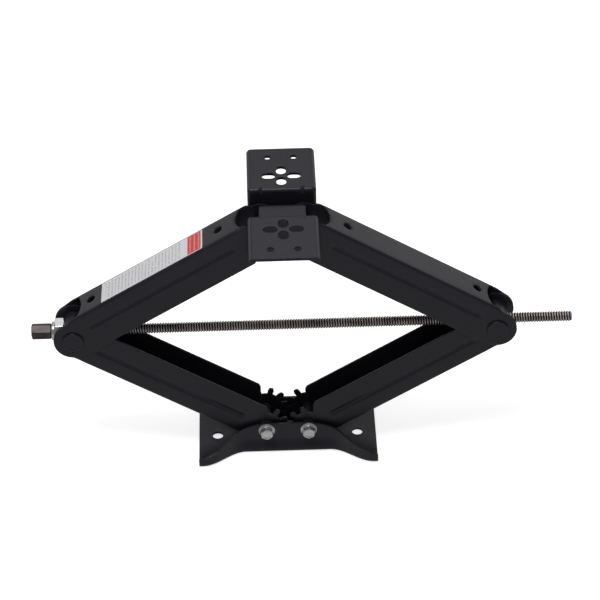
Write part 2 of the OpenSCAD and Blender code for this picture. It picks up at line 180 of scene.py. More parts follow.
def mesh_object(name, verts, faces, materials, sharp_deg=32.0):
    mesh = bpy.data.meshes.new(name)
    mesh.from_pydata([tuple(float(c) * MM for c in v) for v in verts], [], faces)
    bm = bmesh.new()
    bm.from_mesh(mesh)
    bmesh.ops.remove_doubles(bm, verts=bm.verts, dist=1e-6)
    bmesh.ops.recalc_face_normals(bm, faces=bm.faces)
    bm.to_mesh(mesh)
    bm.free()
    for m in materials:
        mesh.materials.append(m)
    mesh.shade_smooth()
    mesh.set_sharp_from_angle(angle=math.radians(sharp_deg))
    mesh.update()
    obj = bpy.data.objects.new(name, mesh)
    bpy.context.scene.collection.objects.link(obj)
    return obj


def dress(obj, body, slot, *nodes):
    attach(obj, body)
    if nodes:
        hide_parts(*nodes)
    return obj


def arc(cx, cy, r, a0, a1, steps):
    return [(cx + r * math.cos(math.radians(a0 + (a1 - a0) * i / steps)),
             cy + r * math.sin(math.radians(a0 + (a1 - a0) * i / steps))) for i in range(steps + 1)]


def circle(cx, cy, r, steps=40):
    return arc(cx, cy, r, 0, 360, steps)[:-1]


def stadium(cx, cy, length, width, upright):
    half, r = (length - width) / 2, width / 2
    pts = arc(half, 0, r, -90, 90, 14) + arc(-half, 0, r, 90, 270, 14)
    return [(cx - y, cy + x) if upright else (cx + x, cy + y) for x, y in pts]


def fillet(points, radius, turn_deg=24.0, steps=4):
    """Rounds every corner of a closed outline that turns more than turn_deg."""
    out, n = [], len(points)
    for i in range(n):
        p0, p, p1 = (np.array(points[(i + k) % n], float) for k in (-1, 0, 1))
        a, b = p - p0, p1 - p
        la, lb = np.linalg.norm(a), np.linalg.norm(b)
        turn = math.acos(max(-1.0, min(1.0, float(a @ b) / (la * lb))))
        if turn < math.radians(turn_deg):
            out.append(tuple(p))
            continue
        cut = min(radius * math.tan(turn / 2), 0.45 * la, 0.45 * lb)
        start, end = p - a / la * cut, p + b / lb * cut
        for k in range(steps + 1):
            f = k / steps
            out.append(tuple((1 - f) ** 2 * start + 2 * f * (1 - f) * p + f * f * end))
    return out


def denser(points, step):
    """Splits the long sides of a closed outline, so that it can follow a bend."""
    out = []
    for i, p in enumerate(points):
        q = points[(i + 1) % len(points)]
        cuts = max(1, math.ceil(math.dist(p, q) / step))
        out += [(p[0] + (q[0] - p[0]) * k / cuts, p[1] + (q[1] - p[1]) * k / cuts)
                for k in range(cuts)]
    return out


def signed_area(loop):
    a = np.array(loop, float)
    b = np.roll(a, -1, 0)
    return float((a[:, 0] * b[:, 1] - b[:, 0] * a[:, 1]).sum() / 2)


def turned(loop, ccw):
    return loop if (signed_area(loop) > 0) == ccw else loop[::-1]


def inward(loop, distance):
    """Moves a closed outline to its left by distance."""
    a = np.array(loop, float)
    before, after = a - np.roll(a, 1, 0), np.roll(a, -1, 0) - a
    before /= np.linalg.norm(before, axis=1)[:, None]
    after /= np.linalg.norm(after, axis=1)[:, None]
    n0 = np.stack([-before[:, 1], before[:, 0]], 1)
    n1 = np.stack([-after[:, 1], after[:, 0]], 1)
    mid = n0 + n1
    mid /= np.maximum(np.linalg.norm(mid, axis=1), 0.2)[:, None]
    reach = 1 / np.maximum((mid * n0).sum(1), 0.55)
    return a + mid * (distance * reach)[:, None]


def inside(points, loop):
    x, y = points[:, 0], points[:, 1]
    a = np.array(loop, float)
    b = np.roll(a, -1, 0)
    hit = np.zeros(len(points), bool)
    for (x0, y0), (x1, y1) in zip(a, b):
        cross = (y0 > y) != (y1 > y)
        if y1 != y0:
            hit ^= cross & (x < (x1 - x0) * (y - y0) / (y1 - y0) + x0)
    return hit


def clear_of(points, loop, gap):
    a = np.array(loop, float)
    b = np.roll(a, -1, 0)
    best = np.full(len(points), 1e9)
    for p, q in zip(a, b):
        d = q - p
        t = np.clip(((points - p) @ d) / max(float(d @ d), 1e-9), 0, 1)
        best = np.minimum(best, np.linalg.norm(points - (p + t[:, None] * d), axis=1))
    return best > gap


def flat_pattern(edge, xs, ys):
    """Triangles between the first loop and the others, with grid points inside."""
    grid = np.array([(x, y) for x in xs for y in ys], float)
    keep = inside(grid, edge[0]) & clear_of(grid, edge[0], GRID_GAP)
    for hole in edge[1:]:
        keep &= ~inside(grid, hole) & clear_of(grid, hole, GRID_GAP)
    flat = [Vector(p) for p in np.vstack([*edge, grid[keep]])]
    sides, first = [], 0
    for loop in edge:
        n = len(loop)
        sides += [(first + i, first + (i + 1) % n) for i in range(n)]
        first += n
    got, _, tris, origins, _, _ = delaunay_2d_cdt(flat, sides, [], 1, 1e-5)
    got = np.array([tuple(p) for p in got], float)
    centre = np.array([got[list(t)].mean(0) for t in tris])
    keep = inside(centre, edge[0])
    for hole in edge[1:]:
        keep &= ~inside(centre, hole)
    new_index = {s: i for i, source in enumerate(origins) for s in source}
    return got, [tuple(t) for t, k in zip(tris, keep) if k], new_index


def sheet(name, outline, holes, thickness, place, xs, ys, materials, rim=RIM_R):
    """Pressed sheet with rounded rims. place(points, depth) bends the flat points into shape."""
    loops = [np.array(turned(outline, True), float)]
    loops += [np.array(turned(h, False), float) for h in holes]
    part = RIM_MIDDLE * rim
    layers = [(rim, 0.0), (part, part), (0.0, rim), (0.0, thickness - rim),
              (part, thickness - part), (rim, thickness)]
    got, tris, new_index = flat_pattern([inward(loop, rim) for loop in loops], xs, ys)
    n = len(got)
    verts = [place(got, np.zeros(n)), place(got, np.full(n, thickness))]
    faces = tris + [tuple(i + n for i in reversed(t)) for t in tris]
    count, first = 2 * n, 0
    for loop in loops:
        m = len(loop)
        rings = []
        for k, (shift, depth) in enumerate(layers):
            if k in (0, len(layers) - 1):
                rings.append([new_index[first + i] + (n if k else 0) for i in range(m)])
                continue
            verts.append(place(inward(loop, shift) if shift else loop, np.full(m, depth)))
            rings.append(list(range(count, count + m)))
            count += m
        for low, high in zip(rings, rings[1:]):
            faces += [(low[i], low[(i + 1) % m], high[(i + 1) % m], high[i]) for i in range(m)]
        first += m
    return mesh_object(name, np.vstack(verts), faces, materials)


def turned_part(name, profile, place, materials, steps=64):
    """Lathe of (distance along the axis, radius) points; place(along, radius, angle) sets it."""
    verts, faces = [], []
    for along, radius in profile:
        for k in range(steps):
            verts.append(place(along, radius, 2 * math.pi * k / steps))
    for i in range(len(profile) - 1):
        for k in range(steps):
            a, b = i * steps + k, i * steps + (k + 1) % steps
            faces.append((a, b, b + steps, a + steps))
    for ring in (0, len(profile) - 1):
        if profile[ring][1] > 0.01:
            faces.append(tuple(ring * steps + k for k in range(steps)))
    return mesh_object(name, verts, faces, materials)


def hex_radius(angle, flats, turn):
    """Radius of a hexagon with a corner at turn and slightly cut corners."""
    part = (angle - turn + math.pi / 6) % (math.pi / 3) - math.pi / 6
    corner = flats / 2 / math.cos(math.pi / 6)
    return min(flats / 2 / math.cos(math.pi / 6 - abs(part)), corner - HEX_CORNER_CUT)


def hex_angles(turn):
    """Angles round a hexagon with a corner at turn, closer together at the corners."""
    offsets = [0, 1.2, 2.6, 5, 9, 14, 20, 26, 30]
    one = [-x for x in reversed(offsets[1:])] + offsets[:-1]
    return [turn + math.radians(60 * k + a) for k in range(6) for a in one]


# ---- arms ----

def bend_line(half, web):
    """Place along a channel's section: 0 at the web's middle, growing over the bend and wall."""
    start = half - ARM_BEND
    mid_r = ARM_BEND - ARM_SHEET / 2
    return start, mid_r, start + mid_r * math.pi / 2, web - ARM_BEND


def section_place(half, web, s):
    """(across, height) of the outer face and its outward normal at section places s."""
    start, mid_r, wall_s, wall_w = bend_line(half, web)
    side, a = np.sign(s), np.abs(s)
    turn = np.clip((a - start) / mid_r, 0, math.pi / 2)
    across = np.minimum(a, start) + ARM_BEND * np.sin(turn)
    height = wall_w + ARM_BEND * np.cos(turn) - np.maximum(a - wall_s, 0)
    return side * across, height, side * np.sin(turn), np.cos(turn)


def height_to_s(half, web, w):
    start, mid_r, wall_s, wall_w = bend_line(half, web)
    if w <= wall_w:
        return wall_s + wall_w - w
    return start + mid_r * math.acos(min(1.0, (w - wall_w) / ARM_BEND))


def involute(a):
    return math.tan(a) - a


def tooth_half_deg(r):
    """Half the angle of a gear tooth at radius r."""
    half = (math.pi * PITCH_R / TEETH_ROUND - BACKLASH) / PITCH_R / 2
    here = math.acos(min(1, BASE_CIRCLE_R / r))
    return math.degrees(half + involute(PRESSURE_ANGLE) - involute(here))


def gear_points(centre_u, tooth_angles, start, end):
    """Outline of the hub and its teeth from the start angle to the end angle."""
    pts, at = [], start
    for tooth in sorted(tooth_angles):
        if tooth - ROOT_HALF_DEG > at + 1:
            pts += arc(centre_u, 0, HUB_R, at, tooth - ROOT_HALF_DEG, 5)
        for side, radii in ((-1, range(7)), (1, range(6, -1, -1))):
            for i in radii:
                r = BASE_CIRCLE_R + (TIP_R - BASE_CIRCLE_R) * i / 6
                a = math.radians(tooth + side * tooth_half_deg(r))
                pts.append((centre_u + r * math.cos(a), r * math.sin(a)))
        at = tooth + ROOT_HALF_DEG
    return pts + arc(centre_u, 0, HUB_R, at, end, 8)


def wall_chain(web, wall, tooth_angles, foot):
    """Side wall outline from the web's trunnion end round the rim to its geared end."""
    n = ARM_LENGTH
    slant = math.tan(ARM_ANGLE)
    leave = UPPER_LEAVE_DEG if web == UPPER_WEB else LOWER_LEAVE_DEG
    end_u = n + foot[0] - (wall + foot[1]) * slant
    pts = [(20, web), (9, 0.45 * web + 0.55 * END_R)]
    pts += arc(0, 0, END_R, 90, 270, 36)
    pts += [(30, -wall), (end_u - END_CHAMFER, -wall),
            (end_u + END_CHAMFER * slant, -wall + END_CHAMFER), (n + foot[0], foot[1])]
    pts += gear_points(n, tooth_angles, math.degrees(math.atan2(foot[1], foot[0])), leave)
    return pts + [(n - 3, web - 4), (n - 9, web)]


def tooth_angles(first, count):
    return [-(math.degrees(ARM_ANGLE) + TOOTH_START_DEG + (first + i) * TOOTH_PITCH_DEG)
            for i in range(count)]


def arm_outline(half, web, wall, swapped):
    """Flat outline of an arm: two side walls and a notch in the web at each end."""
    start = half - ARM_BEND
    low = wall_chain(web, wall, tooth_angles(0, 3), LOW_FOOT)
    high = wall_chain(web, wall, tooth_angles(-0.5, 4), HIGH_FOOT)
    front, back = (high, low) if swapped else (low, high)
    front = [(u, -height_to_s(half, web, w)) for u, w in front]
    back = [(u, height_to_s(half, web, w)) for u, w in back]
    reach = math.asin(start / GEAR_NOTCH_R)
    centre = ARM_LENGTH - GEAR_NOTCH_REACH + GEAR_NOTCH_R
    gear_notch = [(centre - GEAR_NOTCH_R * math.cos(a), GEAR_NOTCH_R * math.sin(a))
                  for a in np.linspace(-reach, reach, 24)]
    reach = math.asin(start / NOTCH_R)
    notch = [(NOTCH_REACH - NOTCH_R + NOTCH_R * math.cos(a), NOTCH_R * math.sin(a))
             for a in np.linspace(reach, -reach, 24)]
    return fillet(front + gear_notch + back[::-1] + notch, CORNER_R)


def bead_press(u, w, centre, start, end):
    """Depth of the rolled bead along a side wall."""
    across = np.clip(np.abs(w - centre) / BEAD_HALF, 0, 1)
    ends = np.clip((u - start) / BEAD_RUNOUT, 0, 1) * np.clip((end - u) / BEAD_RUNOUT, 0, 1)
    return BEAD_DEEP * (0.5 + 0.5 * np.cos(math.pi * across)) * ends * (2 - ends)


def arm_place(half, web, down, right):
    """Bends an arm's flat pattern and sets it on its trunnion."""
    bead = LOWER_BEAD if down else UPPER_BEAD
    sign = -1.0 if down else 1.0
    along = np.array([math.cos(ARM_ANGLE), 0, sign * math.sin(ARM_ANGLE)])
    out = np.array([-math.sin(ARM_ANGLE), 0, sign * math.cos(ARM_ANGLE)])
    flip = np.array([-1, -1, 1]) if right else np.array([1, 1, 1])

    def place(points, depth):
        u, s = points[:, 0], points[:, 1]
        across, height, n_y, n_w = section_place(half, web, s)
        wall = (np.abs(n_w) < 0.05).astype(float)
        press = bead_press(u, height, *bead) * wall * (1 - depth / ARM_SHEET)
        deep = depth + press
        across, height = across - n_y * deep, height - n_w * deep
        spot = (TRUNNION + u[:, None] * along + height[:, None] * out
                + across[:, None] * np.array([0, 1.0, 0]))
        return spot * flip
    return place


def make_arm(name, half, web, wall, down, right, paint):
    start, _, wall_s, wall_w = bend_line(half, web)
    axis_s = wall_s + wall_w
    bead_s = axis_s - (LOWER_BEAD if down else UPPER_BEAD)[0]
    holes = [circle(u, 0, WEB_HOLE_R, 32) for u in (WEB_HOLE_INSET, ARM_LENGTH - WEB_HOLE_INSET)]
    for side in (-1, 1):
        holes.append(circle(0, side * axis_s, JOURNAL_R, 48))
        holes.append(circle(ARM_LENGTH, side * axis_s, GEAR_BORE_R, 36))
    rows = set(np.linspace(0, start, 5))
    rows |= set(np.linspace(start, wall_s, 7)) | set(bead_s + np.linspace(-5.8, 5.8, 17))
    rows |= {wall_s + 5, wall_s + 10, axis_s + 10, axis_s + 18, axis_s + wall - 3}
    ys = sorted({round(side * y, 4) for y in rows for side in (-1, 1)})
    xs = sorted(set(np.linspace(-22, ARM_LENGTH + 28, 64)) | set(np.linspace(27, 41, 8))
                | set(np.linspace(248, 262, 8)))
    outline = denser(arm_outline(half, web, wall, not down), 5.0)
    return sheet(name, outline, holes, ARM_SHEET, arm_place(half, web, down, right), xs, ys,
                 [paint])


def make_arms(paint):
    for side, right in (("left", False), ("right", True)):
        upper = make_arm("look_upper_arm_" + side, UPPER_HALF, UPPER_WEB, UPPER_WALL, False, right,
                         paint)
        dress(upper, "upper_" + side, "black_paint", "upper_arm_" + side)
        lower = make_arm("look_lower_arm_" + side, LOWER_HALF, LOWER_WEB, LOWER_WALL, True, right,
                         paint)
        dress(lower, "lower_" + side, "black_paint", "lower_arm_" + side)


def make_label(sticker):
    """Sticker with slightly rounded corners on the left upper arm's web."""
    u0, u1, half = LABEL_START, LABEL_END, LABEL_HALF
    along = np.array([math.cos(ARM_ANGLE), 0, math.sin(ARM_ANGLE)])
    out = np.array([-math.sin(ARM_ANGLE), 0, math.cos(ARM_ANGLE)])
    outline = fillet([(u0, -half), (u1, -half), (u1, half), (u0, half)], 1.6)

    def place(points, depth):
        return (TRUNNION + points[:, :1] * along + (UPPER_WEB + LABEL_LIFT - depth)[:, None] * out
                + points[:, 1:] * np.array([0, 1.0, 0]))
    obj = sheet("look_arm_label", denser(outline, 8.0), [], LABEL_LIFT - 0.02, place,
                np.arange(u0 + 4, u1, 8), np.arange(-half + 4, half, 6), [sticker], 0.05)
    uv = obj.data.attributes.new("label_place", "FLOAT_VECTOR", "POINT")
    spots = np.array([v.co for v in obj.data.vertices]) / MM - TRUNNION
    values = np.stack([(spots @ along - u0) / (u1 - u0), (spots[:, 1] + half) / (2 * half),
                       np.zeros(len(spots))], 1)
    uv.data.foreach_set("vector", values.astype(np.float32).ravel())
    dress(obj, "upper_left", "sticker", "arm_label")


# ---- base ----

def swing(x, x0, x1):
    """Smooth step from 0 at |x| = x0 to 1 at |x| = x1."""
    f = np.clip((np.abs(x) - x0) / (x1 - x0), 0, 1)
    return (1 - np.cos(math.pi * f)) / 2


def base_edge(x):
    """Half width of the base's foot."""
    return WAIST + (EAR_EDGE - WAIST) * swing(x, EAR_X0, EAR_X1)


def base_top(x):
    """Height of the base's wall."""
    return WALL_TOP - (WALL_TOP - CREST_LOW) * swing(x, CREST_X0, CREST_X1)


def base_surface(x, p):
    """Outer face of the base: p runs over the floor, the corner and up the wall."""
    corner = BASE_BEND
    foot = WAIST - corner
    a, side = np.abs(p), np.sign(p)
    edge, top = base_edge(x), base_top(x)
    lean = (WAIST - BASE_OUTER) * (1 - swing(x, LEAN_X0, LEAN_X1))
    rise = np.clip(a - foot, 0, None)
    turn = np.clip(rise / (corner * math.pi / 2), 0, 1) * math.pi / 2
    z = corner * (1 - np.cos(turn))
    wall = np.clip(rise - corner * math.pi / 2, 0, None)
    z = z + wall / (WALL_TOP - corner) * (top - corner)
    f = np.clip((z - 1) / 19, 0, 1)
    y = np.where(a <= foot, a / foot * (edge - corner), edge - corner + corner * np.sin(turn))
    y = y - lean * f * f * (3 - 2 * f) * (a > foot)
    return np.stack([x, side * y, z], 1)


def base_place(points, depth):
    """Bends the base's flat pattern; the normal comes from small steps along the surface."""
    x, p = points[:, 0], points[:, 1]
    h = 0.05
    dx = base_surface(x + h, p) - base_surface(x - h, p)
    dp = base_surface(x, p + h) - base_surface(x, p - h)
    normal = np.cross(dx, dp)
    normal /= np.linalg.norm(normal, axis=1)[:, None]
    return base_surface(x, p) + normal * depth[:, None]


def make_base(paint):
    half_x = BASE_END_X
    foot = WAIST - BASE_BEND
    wall_p = foot + BASE_BEND * math.pi / 2 + (WALL_TOP - BASE_BEND)
    outline = fillet([(-half_x, -wall_p), (half_x, -wall_p), (half_x, wall_p), (-half_x, wall_p)],
                     BASE_CORNER_R, steps=6)
    holes = []
    for s in (-1, 1):
        ring = circle(s * EAR_HOLE_X, 0, EAR_HOLE_R, 48)
        holes.append([(x, y * foot / (float(base_edge(x)) - BASE_BEND)) for x, y in ring])
    bend_end = foot + 6.28
    rows = set(np.linspace(0, foot, 7)) | set(np.linspace(foot, bend_end, 6))
    rows |= set(np.linspace(bend_end, wall_p - 2, 14))
    ys = sorted({round(side * y, 4) for y in rows for side in (-1, 1)})
    obj = sheet("look_base_plate", denser(outline, 3.5), holes, BASE_SHEET, base_place,
                np.linspace(-half_x + 2, half_x - 2, 90), ys, [paint], 0.9)
    dress(obj, "base", "black_paint", "base_plate")


# ---- top bracket ----

def bracket_place(back):
    """Flat places are (x, distance from the flange's free edge)."""
    top, free_y, inner = BRACKET_HIGH[2], BRACKET_HIGH[1], BRACKET_LOW[1]
    bend_y = inner + BRACKET_BEND
    flat = free_y - bend_y
    mid_r = BRACKET_BEND - BRACKET_SHEET / 2
    bend = mid_r * math.pi / 2
    flat_x = BRACKET_HIGH[0] - LIP_R
    lip_mid_r = LIP_R - BRACKET_SHEET / 2
    sign = 1.0 if back else -1.0

    def place(points, depth):
        x, s = points[:, 0], points[:, 1]
        turn = np.clip((s - flat) / mid_r, 0, math.pi / 2)
        y = free_y - np.minimum(s, flat) - BRACKET_BEND * np.sin(turn)
        z = top - BRACKET_BEND + BRACKET_BEND * np.cos(turn) - np.clip(s - flat - bend, 0, None)
        n_y, n_z = -np.sin(turn), np.cos(turn)
        near = np.clip(1 - np.abs(np.abs(x) - GUSSET_X) / GUSSET_HALF, 0, 1)
        mid = np.clip(1 - np.abs(s - flat - bend / 2) / (bend / 2 + 4.5), 0, 1)
        dent = GUSSET_DEEP * near * near * (3 - 2 * near) * mid * mid * (3 - 2 * mid)
        lip = np.clip((np.abs(x) - flat_x) / lip_mid_r, 0, math.pi / 2)
        narrow = 1 - 0.35 * np.sin(2 * turn)
        sink = dent + LIP_R * (1 - np.cos(lip)) * narrow + depth * np.cos(lip)
        x = np.sign(x) * (np.minimum(np.abs(x), flat_x) + (LIP_R - depth) * np.sin(lip))
        return np.stack([x * sign, sign * (y - n_y * sink), z - n_z * sink], 1)
    return place


def make_bracket_half(name, back, paint):
    flat = BRACKET_HIGH[1] - BRACKET_LOW[1] - BRACKET_BEND
    bend = (BRACKET_BEND - BRACKET_SHEET / 2) * math.pi / 2
    total = flat + bend + (BRACKET_HIGH[2] - BRACKET_BEND - BRACKET_LOW[2])
    flat_x = BRACKET_HIGH[0] - LIP_R
    half_x = flat_x + (LIP_R - BRACKET_SHEET / 2) * math.pi / 2
    free_y = BRACKET_HIGH[1]
    corner = BRACKET_CORNER_R
    outline = fillet([(-half_x, 0), (half_x, 0), (half_x, total), (-half_x, total)], corner)
    holes = []
    for a in (-1, 1):
        holes.append(stadium(a * SLOT_X, free_y - CROSS_Y, SLOT_L, SLOT_W, False))
        holes.append(stadium(0, free_y - CROSS_Y - a * SLOT_Y, SLOT_L, SLOT_W, True))
        holes.append(circle(a * ROUND_X, free_y - ROUND_Y, ROUND_R, 32))
        pin_s = flat + bend + (BRACKET_HIGH[2] - BRACKET_BEND - TOP_PIVOT[2])
        holes.append(circle(a * PIVOT_X, pin_s, PIN_HOLE_R, 36))
    edge_rows = np.linspace(corner, total - corner, math.ceil((total - 2 * corner) / 2.5) + 1)
    rows = sorted(set(edge_rows[(edge_rows < flat - 6) | (edge_rows > flat + bend + 6)])
                  | set(np.linspace(flat - 5, flat + bend + 5, 18)))
    cols = sorted(set(np.linspace(-flat_x, flat_x, 22))
                  | {s * (flat_x + d) for s in (-1, 1) for d in np.linspace(0, 5.4, 7)}
                  | {s * (GUSSET_X + d) for s in (-1, 1) for d in np.linspace(-2.8, 2.8, 9)})
    return sheet(name, denser(outline, 2.5), holes, BRACKET_SHEET, bracket_place(back), cols,
                 rows, [paint], 0.7)


def make_bracket(paint):
    dress(make_bracket_half("look_bracket_back", True, paint), "bracket", "black_paint",
          "top_bracket_back")
    dress(make_bracket_half("look_bracket_front", False, paint), "bracket", "black_paint",
          "top_bracket_front")


def make_spacer(paint):
    """Inverted channel between the bracket's walls."""
    half, top, bottom = SPACER_HIGH[1], SPACER_HIGH[2], SPACER_LOW[2]
    bend = SPACER_BEND
    start, mid_r = half - bend, bend - SPACER_SHEET / 2
    wall_s = start + mid_r * math.pi / 2
    total = wall_s + (top - bend - bottom)

    def place(points, depth):
        x, s = points[:, 0], points[:, 1]
        turn = np.clip((np.abs(s) - start) / mid_r, 0, math.pi / 2)
        side = np.sign(s)
        y = np.minimum(np.abs(s), start) + (bend - depth) * np.sin(turn)
        z = top - bend + (bend - depth) * np.cos(turn) - np.clip(np.abs(s) - wall_s, 0, None)
        return np.stack([x, side * y, z], 1)
    end = SPACER_HIGH[0]
    outline = fillet([(-end, -total), (end, -total), (end, total), (-end, total)], 4.0)
    rows = set(np.linspace(0, start, 5)) | set(np.linspace(start, wall_s, 6)) | {total - 6}
    ys = sorted({round(side * y, 4) for y in rows for side in (-1, 1)})
    obj = sheet("look_bracket_spacer", denser(outline, 4.0), [], SPACER_SHEET, place,
                np.linspace(-end + 2, end - 2, 16), ys, [paint], 0.5)
    dress(obj, "bracket", "black_paint", "bracket_spacer")


# ---- pins, caps, bolts ----

def across_y(x, z, sign):
    """Places a turned part on an axis along Y; along grows outwards on the given side."""
    def place(along, radius, angle):
        return (x + radius * math.cos(angle), sign * along, z + radius * math.sin(angle))
    return place


def joined(name, parts):
    """One object out of several."""
    bpy.ops.object.select_all(action="DESELECT")
    for p in parts:
        p.select_set(True)
    bpy.context.view_layer.objects.active = parts[0]
    bpy.ops.object.join()
    obj = bpy.context.view_layer.objects.active
    obj.name = name
    obj.data.name = name
    obj.select_set(False)
    return obj


def make_caps(name, node, body, x, paint):
    """Peened trunnion ends: a flat disc with a pressed ring and a rolled edge."""
    low, high = CAP_END_Y - CAP_THICK, CAP_END_Y
    profile = [(low - 0.6, 10.5), (low, 13.6), (low + 0.5, 14.0), (high - 1.1, 13.9),
               (high - 0.35, 13.3), (high, 12.5), (high, 11.4), (high - 0.45, 10.6),
               (high - 0.5, 9.8), (high - 0.35, 9.0), (high - 0.2, 4.0), (high - 0.2, 0.001)]
    parts = [turned_part(name, profile, across_y(x, AXIS_Z, s), [paint]) for s in (-1, 1)]
    dress(joined(name, parts), body, "black_paint", node)


def make_top_pins(paint):
    """Peened top pins with their heads outside the bracket's walls."""
    wall = BRACKET_LOW[1] + BRACKET_SHEET
    head = PIN_END_Y
    profile = [(0, 0.001), (0, 7.0), (wall, 7.0), (wall, 11.2), (wall + 0.5, 11.5),
               (head - 2.6, 11.4), (head - 1.6, 10.8), (head - 0.7, 9.4), (head - 0.15, 7.4),
               (head, 5.0), (head - 0.25, 2.4), (head - 0.3, 0.001)]
    parts = [turned_part("look_top_pins", profile, across_y(x, TOP_PIVOT[2], s), [paint])
             for x in (-PIVOT_X, PIVOT_X) for s in (-1, 1)]
    dress(joined("look_top_pins", parts), "bracket", "black_paint", "top_pins")


def make_flange(name, place, zinc):
    """The flange under a bolt head or nut, outside the base's wall."""
    base, r = BASE_OUTER, FLANGE_R
    profile = [(base, BOLT_R), (base, r - 0.3), (base + 0.3, r), (base + FLANGE_EDGE, r),
               (base + 1.6, r - 0.5), (base + 2.6, 8.6), (base + 3.2, 8.2), (base + 3.3, BOLT_R)]
    return turned_part(name, profile, place, [zinc])


def hexed(name, start, end, flats, turn, chamfer, place, materials, dish=0.0, both=False):
    """Hexagon with a turned chamfer. place(along, radius, angle) sets it."""
    corner = flats / 2 / math.cos(math.pi / 6)
    rim = flats / 2 - chamfer
    angles = hex_angles(turn)
    depth = (corner - flats / 2 + chamfer) * CHAMFER_SLOPE
    stations = [start] + ([start + depth * f for f in (0.12, 0.3, 0.5, 0.75, 1)] if both else [])
    stations += list(np.linspace(start, end, 6))[1:-1]
    stations += [end - depth * f for f in (1, 0.75, 0.5, 0.3, 0.12)] + [end]
    verts, faces, n = [], [], len(angles)
    for along in stations:
        cone = rim + (end - along) / CHAMFER_SLOPE
        if both:
            cone = min(cone, rim + (along - start) / CHAMFER_SLOPE)
        for a in angles:
            verts.append(place(along, min(hex_radius(a, flats, turn), cone), a))
    for i in range(len(stations) - 1):
        faces += [(i * n + k, i * n + (k + 1) % n, (i + 1) * n + (k + 1) % n, (i + 1) * n + k)
                  for k in range(n)]
    faces.append(tuple(range(n)))
    ring = len(verts)
    for radius, sink in ((rim - 1.0, dish * 0.3), (rim * 0.7, dish), (rim * 0.3, dish)):
        verts += [place(end - sink, radius, a) for a in angles]
    last = (len(stations) - 1) * n
    for low, high in ((last, ring), (ring, ring + n), (ring + n, ring + 2 * n)):
        faces += [(low + k, low + (k + 1) % n, high + (k + 1) % n, high + k) for k in range(n)]
    faces.append(tuple(ring + 2 * n + k for k in range(n)))
    return mesh_object(name, verts, faces, materials, 24.0)


def thread_bar(name, start, end, radius, pitch, depth, place, materials):
    """Rolled thread with flat crests, chamfered at its end."""
    steps, rows_per_turn = 24, 10
    crest, flank = 0.12, 0.62
    chamfer, chamfer_slope = 1.7, 1.1
    rows = max(8, int((end - start) / pitch * rows_per_turn))
    verts, faces = [], []
    for i in range(rows + 1):
        along = start + (end - start) * i / rows
        for k in range(steps):
            angle = 2 * math.pi * k / steps
            phase = (along / pitch - k / steps) % 1.0
            rise = min(phase, 1 - phase) * 2
            r = radius - depth * (1 - min(1.0, max(0.0, (rise - crest) / flank)))
            r = min(r, radius - chamfer + (end - along) * chamfer_slope)
            verts.append(place(along, r, angle))
    for i in range(rows):
        faces += [(i * steps + k, i * steps + (k + 1) % steps, (i + 1) * steps + (k + 1) % steps,
                   (i + 1) * steps + k) for k in range(steps)]
    faces.append(tuple(range(steps)))
    faces.append(tuple(rows * steps + k for k in range(steps)))
    return mesh_object(name, verts, faces, materials, 50.0)


def rod(name, start, end, radius, place, materials):
    """Plain rod with closed ends, inside the parts that show."""
    profile = [(start, 0.001), (start, radius), (end, radius), (end, 0.001)]
    return turned_part(name, profile, place, materials, 32)


def make_bolts(zinc):
    """Two flanged bolts and nuts through the base; twist turns each hexagon a little."""
    hex_start = BASE_OUTER + FLANGE_EDGE
    parts, nuts = [], []
    for x, twist in ((-PIVOT_X, LEFT_TWIST_DEG), (PIVOT_X, RIGHT_TWIST_DEG)):
        front, back = across_y(x, BASE_PIVOT[2], -1), across_y(x, BASE_PIVOT[2], 1)
        parts.append(make_flange("bolt", front, zinc))
        parts.append(hexed("bolt", hex_start, -BOLT_LOW[1], BOLT_FLATS, math.radians(90 + twist),
                           BOLT_CHAMFER, front, [zinc], 0.9))
        parts.append(rod("bolt", -BASE_OUTER - 1, BASE_OUTER - 1, BOLT_R - 0.1, back, [zinc]))
        parts.append(thread_bar("bolt", BASE_OUTER - 2, BOLT_HIGH[1], BOLT_R, BOLT_PITCH,
                                BOLT_THREAD_DEPTH, back, [zinc]))
        nuts.append(make_flange("nut", back, zinc))
        nuts.append(hexed("nut", hex_start, NUT_END_Y, BOLT_FLATS, math.radians(70 + twist),
                          BOLT_CHAMFER, back, [zinc]))
    dress(joined("look_base_bolts", parts), "base", "zinc_plate", "base_bolts")
    dress(joined("look_base_nuts", nuts), "base", "zinc_plate", "base_nuts")


# ---- screw ----

def along_screw(sign):
    """Places a turned part on the screw's axis; along is the distance in sign * X."""
    def place(along, radius, angle):
        return (sign * along, -radius * math.sin(angle), AXIS_Z + radius * math.cos(angle))
    return place


def mark_crests(obj):
    """Stores how far each point stands out of the thread's root, from 0 to 1."""
    spots = np.array([v.co for v in obj.data.vertices]) / MM
    radius = np.hypot(spots[:, 1], spots[:, 2] - AXIS_Z)
    crest = obj.data.attributes.new("crest", "FLOAT", "POINT")
    rise = np.clip((radius - SCREW_R + THREAD_DEPTH) / THREAD_DEPTH, 0, 1)
    crest.data.foreach_set("value", rise.astype(np.float32))


